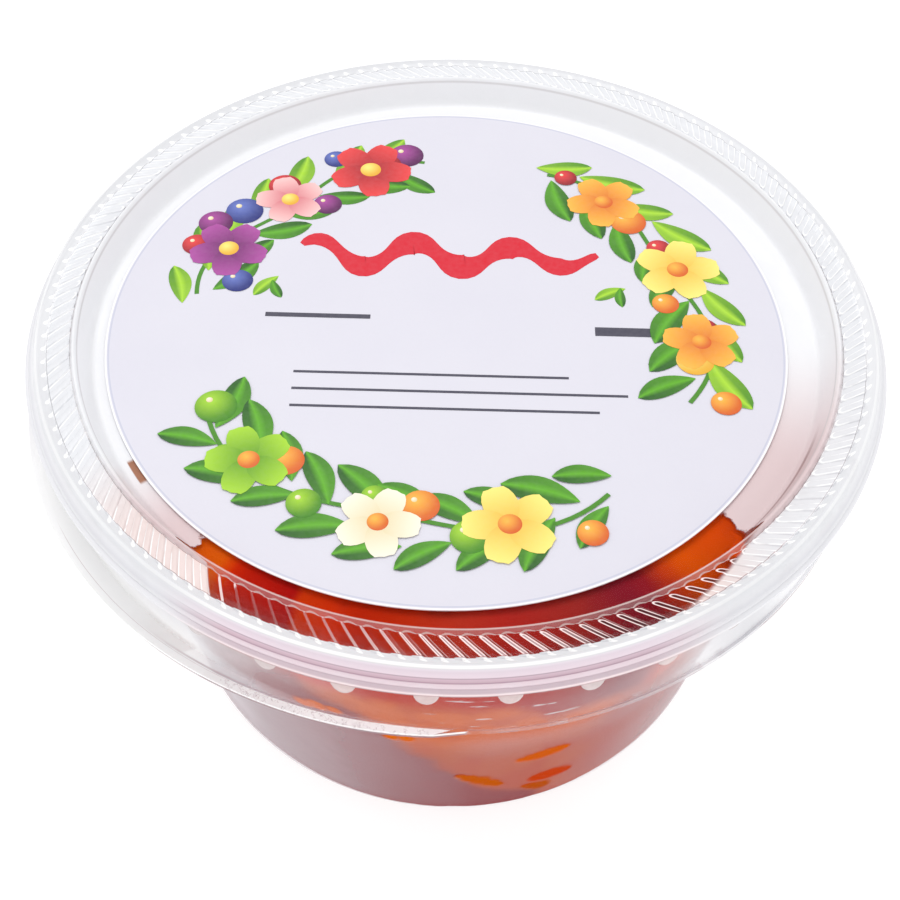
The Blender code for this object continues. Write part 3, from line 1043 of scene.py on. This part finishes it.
def ribbed_ring(finish, around, clear, rib, on_ring, near, milk):
    """Painted highlights as bright outlines of the ribs, only on the lit side at the far left, a pale core or a
    core of painted shade in each, and beside them a painted shade line and a thin painted highlight.
    """
    share, across, outline, core = rib
    fogged = 1 - clear
    # The painted highlight's strength along the ring; at the far left only the lit side of each rib gets it.
    bright = clear * (around.rise(-114, -88) * 0.8 + 0.14) + fogged + around.band(-121, -118.2, 0.2) * 0.7
    lit_side = 1 - (1 - around.rise(-140, -128)) * (1 - across.rise(-0.1, 0.1))
    uneven = finish.noise(0.3, 2).rise(0.3, 0.45) * fogged + clear
    lines = outline * on_ring * bright * lit_side * uneven
    gap = finish.colour(near * (1 - around.rise(-57, -44) * 0.9), (0.79, 0.8, 0.83), (0.8, 0.67, 0.65))
    milk = finish.colour(on_ring * fogged, milk, gap)
    # Painted highlight: the rib outlines turn white, pinkish over the fruit.
    milk = finish.colour(lines, milk, finish.colour(clear, (1, 1, 1), (1, 0.82, 0.8)))
    from_right = around.rise(-80, -70)
    beside = share.band(0.18, 0.26, 0.025) * around.band(-96, -70, 4)
    thin = share.band(0.32, 0.37, 0.02) * around.band(-96, -66, 6) * 0.5
    # Painted shade: near-black rib cores at the right front and a dark line beside each rib; the thin pale line
    # is a painted highlight.
    dark = (core * from_right + beside) * on_ring * clear
    milk = finish.colour(thin * on_ring * clear, milk, (1, 0.8, 0.77))
    milk = finish.colour(dark, milk, (0.045, 0.004, 0.006))
    pale_core = core * (1 - from_right) * around.rise(-104, -88)
    return milk, lines * 0.95 + dark * 0.75 + pale_core * 0.5 + thin + 0.002


def rolled_edge(finish, z, radius, around, across):
    """A pale band with painted highlights, white dots at the ribs' ends and a band on the bead, then the
    colours by height with painted reflections at the grooves.
    """
    front = around.band(-121, -61, 7)
    dots = 1 - ((across * across + (radius - 57.05) * (radius - 57.05)) ** 0.5).rise(0.28, 0.42)
    highlight = radius.band(57.92, 58.26, 0.06) * (front * 0.6 + 0.4)
    outer = finish.colour(front, finish.ramp(z, OUTER_SIDE), finish.ramp(z, OUTER_FRONT))
    land = finish.colour(dots + highlight, (0.77, 0.775, 0.8), (1, 1, 1))
    return finish.colour(1 - radius.rise(58.25, 58.4), outer, land)


print("ribs and edge ready")

# %% Lid finish
def lid_finish():
    finish = Finish("lid_clear_plastic")
    _, _, z, radius, around = finish.turned_place()
    clear = lid_clear_zone(finish, radius, around)
    rib = rib_lines(radius, around, clear)
    on_ring = radius.band(53.6, 56.6, 0.06)
    on_land = radius.rise(56.6, 56.7)
    inside = 1 - radius.rise(53.5, 53.6)
    near = around.rise(-150, -133) * (1 - around.rise(-30, 0))
    milk, patch = fogged_lid(finish, radius, around, near, on_land)
    crest_highlight, arch_highlights = ridge_lines(rib[0], radius)
    # Painted highlights on the ridge's top and over each groove, in the clear front.
    milk = finish.colour((crest_highlight + arch_highlights) * clear, milk, (0.96, 0.76, 0.72))
    milk, ring_haze = ribbed_ring(finish, around, clear, rib, on_ring, near, milk)
    milk = finish.colour(on_land, milk, rolled_edge(finish, z, radius, around, rib[1]))
    fogged = 1 - clear
    haze = inside * ((1 - patch * 0.1) * fogged * 0.97 + clear * (crest_highlight + 0.002)) + on_land * 0.93
    haze = haze + on_ring * (fogged * 0.95 + clear * ring_haze) + clear * (1 - on_land) * arch_highlights
    normal = finish.bump(finish.noise(0.5, 3), 0.15, 0.0004)
    return clear_plastic(finish, haze, milk, normal, fogged * 0.01 + 0.002)


underside = plain_clear("lid_underside", 0.002, (0.85, 0.86, 0.88))
finish_piece(lid, "lid_plastic", "lid", lid_finish(), underside)
for face in lid.data.polygons:
    face.material_index = int(face.normal.z < -0.3)

# %% [markdown]
# ## The tub's finish
#
# Mist on the inside veils the bowl: thick at the left, thin in front, and cloudy at the back. Where a
# chunk is pressed against the wall no mist can sit, and its colour shows bright. The collar is clear
# only in front; its milk is painted lighter at the left, and at the right darker near the front lamp's
# gleam and lighter beyond it, painted light and shade. The lip is painted white as a highlight, with
# painted shade lines along its edges and a few fine dark squiggles.

# %% Veils and touching spots
BODY_VEIL = [
    (-180, 0.34), (-165, 0.45), (-150, 0.66), (-132, 0.57), (-120, 0.46), (-113, 0.4), (-107, 0.31),
    (-101, 0.24), (-95, 0.18), (-89, 0.15), (-84, 0.1), (-72, 0.07), (-66, 0.11), (-60, 0.16),
    (-54, 0.24), (-40, 0.45), (-15, 0.6), (10, 0.34), (90, 0.26), (180, 0.34),
]
COLLAR_VEIL = [
    (-180, 0.96), (-134, 0.96), (-124, 0.75), (-118, 0.48), (-112, 0.18), (-106, 0.09), (-96, 0.04),
    (-84, 0.05), (-76, 0.09), (-70, 0.18), (-62, 0.34), (-57, 0.64), (-54, 0.88), (-50, 0.96),
    (-42, 0.98), (-10, 0.98), (90, 0.88), (180, 0.92),
]
# Spots where a chunk touches the wall: angle, height and reach.
TOUCHING = (
    (-87.2, 19, 1.1), (-85.5, 18, 1.6), (-83.5, 16.8, 1.9), (-81.6, 15.4, 1.6), (-80.2, 14.2, 1),
    (-76.4, 24.2, 1.2), (-74.9, 24.4, 1.7), (-73.3, 24.6, 2), (-71.8, 24.9, 2.1), (-70.4, 25.1, 1.9),
    (-69.2, 25.3, 1.2), (-72.4, 13.6, 1.5), (-71.1, 13.7, 2.1), (-69.7, 13.7, 2.3), (-68.4, 13.7, 2.1),
    (-66.9, 13.2, 1.4), (-71, 9.4, 1.7), (-72.6, 10, 1.4), (-74, 10.8, 1),
    (-98.8, 35.4, 1.2), (-96.3, 35.7, 1.3), (-110.3, 41.4, 1.7), (-112.8, 40.4, 1.5), (-107.4, 41.8, 1.3),
)


def touching(finish, place, ragged):
    """1 where a chunk touches the wall."""
    found = 0
    for angle_deg, height, reach in TOUCHING:
        angle, radius = math.radians(angle_deg), inner_radius(height) + INTO_WALL
        centre = (radius * math.cos(angle), radius * math.sin(angle), height)
        apart = finish.number("ShaderNodeVectorMath", {"operation": "DISTANCE"}, {0: place, 1: centre}, out=1)
        spot = 1 - (apart + ragged * 0.9).rise(reach * 0.6, reach * 1.3)
        found = spot.math("MAXIMUM", found)
    return found


def orange_zone(around, z, drift, patch):
    """1 where the chunks at the wall are orange; the zone ends at the left on a slope."""
    low = (1 - z.rise(6, 19)) * 9
    return (around + 98 - (34 - z) * 0.75 - low + drift * 14 + patch * 8).rise(-4, 4)


print(len(TOUCHING), "touching spots")

# %% Mist on the bowl and the collar
def bowl_veil(finish, z, around, turned, clearer, touch):
    """The mist's thickness on the bowl: thinner over orange chunks and up the front, in clouds elsewhere."""
    veil = Number(finish, finish.ramp(turned, BODY_VEIL)) * (z.rise(1, 9) * 0.6 + 0.4)
    high = z.rise(24, 36) * around.band(-86, -52, 6) * 0.12
    veil = (veil * (1 - clearer) + high) * (1 - touch)
    in_front = around.band(-135, -38, 12)
    thinner = 1 - (1 - z.rise(33, 41) * 0.75) * (1 - z.rise(48, 54))
    cloud = (finish.noise(0.05, 3) - 0.5) * 2.2
    return veil * (1 - thinner * in_front) * (1 + cloud * (1 - in_front))


def collar_veil(finish, z, around, turned, touch):
    """The mist on the collar, with a few long scratches in front."""
    veil = Number(finish, finish.ramp(turned, COLLAR_VEIL)) * (1 - touch * 0.6)
    inputs = {"Vector": finish.vector, "Scale": (0.22, 0.22, 1.5)}
    stretched = finish.add("ShaderNodeMapping", inputs=inputs).outputs[0]
    scratch = finish.noise(1, 4, vector=stretched).rise(0.64, 0.68) * around.band(-92, -74, 5)
    return veil + scratch * 0.5 + z.rise(58, 61) * around.band(-116, -102, 4) * 0.14


print("mist ready")

# %% Lip of the tub
def lip_parts(finish, x, y, z, around, collar, left):
    """The cut lip: its zone, painted shade lines at its lower and upper edges, a painted highlight line, all
    its dark marks together, and the height without the sag.
    """
    # The edge lies further out at the tab, so it is measured from the tab's own centre there.
    shifted = x + (1 - x.rise(-1, 1)) * (TAB_REACH / MM)
    edge = (shifted * shifted + y * y) ** 0.5
    start, end = FRONT_DEG - SAG_HALF_DEG, FRONT_DEG + SAG_HALF_DEG
    sag = around.rise(start, FRONT_DEG) * (1 - around.rise(FRONT_DEG, end))
    height = z + sag * LIP_SAG
    ledge = collar * (1 - height.rise(56.2, 56.35))
    widened = edge - around.rise(-98, -84) * (1 - around.rise(-50, -36)) * 0.55
    lip = ledge * widened.rise(57.8, 57.9)
    # Fine dark squiggles on the lip in front.
    squiggle = finish.noise(0.9, 4, 0.65).band(0.525, 0.54, 0.008) * around.band(-119, -92, 2) * lip
    # Painted shade lines along the lip's lower and upper edges and the tab's rim, and a painted highlight line
    # on the ledge at the left.
    lower = lip * (1 - height.rise(55.7, 55.85)) * around.band(-126, -24, 6)
    upper = ledge * widened.band(57.55, 57.75, 0.04) * around.band(-126, -60, 6)
    inner_highlight = ledge * edge.band(57.62, 57.86, 0.04) * left
    left_line = ledge * edge.band(57.93, 58, 0.03) * around.band(-150, -117, 3) * 0.5
    dark_lines = squiggle * 0.7 + lower * 0.85 + upper * 0.7 + left_line
    return lip, lower, upper, inner_highlight, dark_lines, height


print("lip ready")

# %% Tub finish
def tub_finish():
    finish = Finish("tub_frosted_plastic")
    x, y, z, radius, around = finish.turned_place()
    drift = finish.noise(0.06, 4) - 0.5
    fine = finish.noise(0.5, 4) - 0.5
    patch = finish.noise(0.12, 4) - 0.5
    turned = around + drift * 10 + fine * 3
    # A slanting look passes the outer side of the wall a little above the place it ends at on the fruit.
    shift = {0: finish.vector, 1: (0, 0, -0.7)}
    lowered = finish.add("ShaderNodeVectorMath", {"operation": "ADD"}, shift).outputs[0]
    touch = touching(finish, lowered, fine)
    collar = radius.rise(COLLAR_RADIUS, COLLAR_RADIUS + 0.3)
    left = (1 - around.rise(-126, -116)) * around.rise(-176, -160)
    clearer = orange_zone(around, z, drift, patch) * (1 - around.rise(-92, -82)) * 0.35
    parts = lip_parts(finish, x, y, z, around, collar, left)
    lip, lower, upper, inner_highlight, dark_lines, height = parts
    haze = bowl_veil(finish, z, around, turned, clearer, touch) * (1 - collar)
    haze = haze + collar_veil(finish, z, around, turned, touch) * (collar - lip) + lip * 0.95
    haze = haze - lower * 0.35 + upper * 0.3 + lip * left * 0.03
    # Colours of the mist: pinkish on the bowl, warm over orange chunks, and nearly white on the collar.
    mist = finish.colour(clearer * 2.5, (0.76, 0.69, 0.75), (0.8, 0.66, 0.6))
    milk = finish.colour(collar, mist, (0.82, 0.81, 0.84))
    # Painted highlight: the lip is painted white, fainter at the far left.
    milk = finish.colour(lip * (around.rise(-132, -122) * 0.8 + 0.2), milk, (1, 0.985, 0.985))
    # Painted light: the lower collar at the left, shaded by the skirt and the tab, is painted white.
    milk = finish.colour(left * collar * (1 - height.rise(56.5, 61)), milk, (1, 1, 1))
    # Painted light and shade on the right collar: darker where the front lamp lights it most, lighter beyond.
    right = finish.colour(around.rise(-49, -38), (0.72, 0.72, 0.75), (0.98, 0.98, 1))
    milk = finish.colour(around.band(-54, -12, 6) * collar, milk, right)
    # A painted highlight line on the ledge, then the lip's painted shade lines and dark squiggles.
    milk = finish.colour(inner_highlight, milk, (1, 1, 1))
    milk = finish.colour(dark_lines, milk, (0.34, 0.21, 0.24))
    normal = finish.bump(finish.noise(0.8, 3), 0.12, 0.0004)
    growth = (1 - touch * 0.85) * (z.rise(5, 8) * 0.6 + 0.4) * GLEAM_GROWTH
    return clear_plastic(finish, haze, milk, normal, collar * 0.006 + 0.002, growth)


inner_wall = plain_clear("tub_inner_wall", 0.008, (0.88, 0.86, 0.88))
finish_piece(tub, "tub_plastic", "tub", tub_finish(), inner_wall)
for face in tub.data.polygons:
    on_base = face.normal.z > 0.7 and face.center.z < 6 * MM
    face.material_index = int(face.normal.xy.dot(face.center.xy) < 0 or on_base)

# %% [markdown]
# ## Snap dots, label film and ink
#
# The dots are thicker plastic, so they are milkier than the wall. The film is a satin paper white with a
# pale rim, and the ink takes its colour from the points of each motif, with a grain that lets a little of
# the film through. Colour stored on points is crisp at any distance and needs no picture.

# %% Snap dot finish
def snap_dot_finish():
    finish = Finish("snap_dot_plastic")
    haze = finish.noise(0.6, 3) * 0.3 + 0.4
    normal = finish.bump(finish.noise(2, 2), 0.2, 0.0002)
    return clear_plastic(finish, haze, (0.88, 0.8, 0.79, 1), normal, 0.01)


finish_piece(dots, "tub_plastic", None, snap_dot_finish())

# %% Label and ink finishes
def printed_film(finish, colour, roughness, gloss):
    normal = finish.bump(finish.noise(0.35, 4), 0.25, 0.0003)
    return finish.done(finish.surface(colour, roughness, {"Normal": normal, "Specular IOR Level": gloss}))


def label_finish():
    finish = Finish("label_film")
    x, y, _ = finish.place()
    paper = finish.colour(finish.noise(0.08, 3), (0.705, 0.692, 0.775), (0.745, 0.732, 0.805))
    from_middle = x - LABEL_SHIFT / MM
    reach = (from_middle * from_middle + y * y) ** 0.5 - LABEL_RADIUS / MM
    paper = finish.colour(reach.band(-0.6, -0.38, 0.05), paper, (0.6, 0.61, 0.72))
    paper = finish.colour(reach.rise(-0.28, -0.22), paper, (0.95, 0.95, 0.97))
    return printed_film(finish, paper, 0.45, 0.35)


def ink_finish():
    finish = Finish("label_ink")
    ink = finish.add("ShaderNodeAttribute", {"attribute_name": "ink"}).outputs["Color"]
    inked = finish.colour(finish.noise(1.4, 3) * 0.06, ink, (0.86, 0.85, 0.94))
    return printed_film(finish, inked, 0.42, 0.2)


finish_piece(label, "label_film", "label", label_finish())
finish_piece(ink_sheet, "label_film", None, ink_finish())

# %% [markdown]
# ## The papaya's finish
#
# Ripe papaya runs from orange to a deep wine red. Under the lid the colour changes from chunk to chunk
# round the front, and its deep red and maroon stretches are partly painted shade. Behind the misted wall
# it is wine red at the left, orange in the middle and brownish at the right, with bright orange where a
# chunk touches the wall; the red at the left and the brighter orange higher up are partly painted shade
# and light, and the foot is painted darker as shade. At the back orange and red take turns.

# %% Papaya colours
# Colours under the lid by angle round the front; the deep red and maroon stops are partly painted shade.
UNDER_LID = [
    (-180, (0.5, 0.03, 0.01)), (-125, (0.86, 0.13, 0.002)), (-123, (0.74, 0.03, 0.001)),
    (-120.5, (0.54, 0.012, 0.002)), (-112.5, (0.42, 0.005, 0.004)), (-111.5, (0.62, 0.04, 0.002)),
    (-106, (0.62, 0.028, 0.001)), (-103, (0.5, 0.018, 0.001)), (-96, (0.53, 0.026, 0.003)),
    (-89, (0.5, 0.034, 0.015)), (-82, (0.46, 0.023, 0.016)), (-71, (0.34, 0.026, 0.021)),
    (-64, (0.22, 0.012, 0.027)), (-60, (0.28, 0.012, 0.02)), (-57, (0.58, 0.05, 0.008)),
    (-54, (0.78, 0.1, 0.002)), (-44, (0.78, 0.074, 0.002)), (0, (0.5, 0.03, 0.01)),
    (180, (0.5, 0.03, 0.01)),
]


def touching_colour(finish, around, z):
    """The bright orange of the touching spots, redder in the low group in front."""
    bright = finish.colour(z.rise(10.5, 12.5), (0.49, 0.085, 0.001), (0.575, 0.05, 0.001))
    bright = finish.colour(z.rise(17, 20), bright, (0.65, 0.112, 0.001))
    bright = finish.colour(around.rise(-79.5, -77), (0.56, 0.105, 0.001), bright)
    return finish.colour(z.rise(28, 32), bright, (0.74, 0.15, 0.004))


def behind_wall(finish, z, around, patch, drift, fine, ripe):
    """The colour of the fruit that shows through the wall."""
    orange = orange_zone(around, z, drift, patch)
    # The wine red away from the orange zone is partly painted shade.
    behind = finish.colour(orange, (0.24, 0.012, 0.015), (0.48, 0.08, 0.012))
    # The brighter orange higher up is partly painted light from above.
    behind = finish.colour(z.rise(28, 38) * orange, behind, (0.66, 0.13, 0.012))
    behind = finish.colour((around + patch * 12).rise(-70, -58), behind, (0.42, 0.052, 0.016))
    behind = finish.colour((patch + ripe * 0.1).rise(0.05, 0.2) * orange * 0.4, behind, (0.44, 0.04, 0.012))
    behind = finish.colour(touching(finish, finish.vector, fine), behind, touching_colour(finish, around, z))
    tone = finish.noise(0.055, 3).rise(0.44, 0.56)
    back = finish.colour(tone, (0.3, 0.018, 0.014), (0.56, 0.09, 0.01))
    behind = finish.colour(1 - around.band(-150, -30, 14), behind, back)
    # Painted shade: darker fruit at the foot, along the base corner.
    return finish.colour(z.rise(2, 5.5), (0.26, 0.02, 0.018), behind)


print(len(UNDER_LID), "colours under the lid")

# %% Papaya finish
def papaya_finish():
    finish = Finish("papaya_flesh")
    _, _, z, _, around = finish.turned_place()
    ripe = finish.number("ShaderNodeAttribute", {"attribute_name": "ripeness"}, out=2)
    patch = finish.noise(0.12, 4) - 0.5
    drift = finish.noise(0.06, 4) - 0.5
    fine = finish.noise(0.5, 4) - 0.5
    under_lid = finish.ramp(around + patch * 4 + fine * 1.5, UNDER_LID)
    behind = behind_wall(finish, z, around, patch, drift, fine, ripe)
    lower = around.band(-77, -52, 4) * 8
    flesh = finish.colour((z + drift * 6 + lower).rise(48, 53), behind, under_lid)
    shade = finish.noise(0.3, 3) * 0.16 + ripe * 0.06
    flesh = finish.colour(shade, flesh, (0.4, 0.01, 0.006))
    normal = finish.bump(finish.noise(1.6, 5, 0.65), 0.4, 0.0005)
    return finish.done(finish.surface(flesh, 0.5, {"Normal": normal, "Specular IOR Level": 0}))


finish_piece(fruit, "papaya_flesh", "papaya_chunks", papaya_finish())

# %% [markdown]
# ## Floor and light
#
# The picture has a pure white ground and soft light from all round. The floor is a pale sheet that also
# glows a little, so that only a faint shadow is left, and a wide lamp overhead draws the gleams.

# %% Floor
grid = bpy.ops.mesh.primitive_grid_add
floor = added("floor", grid, x_subdivisions=8, y_subdivisions=8, size=3, location=(0, 0, -0.0002))
sheet = Finish("floor_sheet")
floor_colour = sheet.colour(sheet.noise(0.004), (0.33, 0.33, 0.33), (0.36, 0.36, 0.36))
glow = {"Emission Color": (1, 1, 1, 1), "Emission Strength": 0.8}
floor.data.materials.append(sheet.done(sheet.surface(floor_colour, 0.8, glow)))
print("floor laid")

# %% Lights
world = bpy.data.worlds.new("studio")
bpy.context.scene.world = world
world.use_nodes = True
background = world.node_tree.nodes["Background"]
background.inputs["Color"].default_value = (1, 1, 1, 1)
background.inputs["Strength"].default_value = 0.85


def soft_lamp(name, place, size, watts):
    lamp = bpy.data.lights.new(name, "AREA")
    lamp.shape = "DISK"
    lamp.size = size
    lamp.energy = watts
    obj = bpy.data.objects.new(name, lamp)
    bpy.context.scene.collection.objects.link(obj)
    obj.matrix_world = aimed(Vector(place), Vector((0, 0, 0.06)))


soft_lamp("top_lamp", (-0.15, 0.25, 0.8), 0.45, 1.8)
soft_lamp("front_lamp", (0.3, -0.6, 0.6), 0.3, 0.6)
bpy.context.scene.view_settings.view_transform = "Standard"
bpy.context.scene.cycles.transparent_max_bounces = 24
print("lights on")

# %% End of the scene
print("scene built")
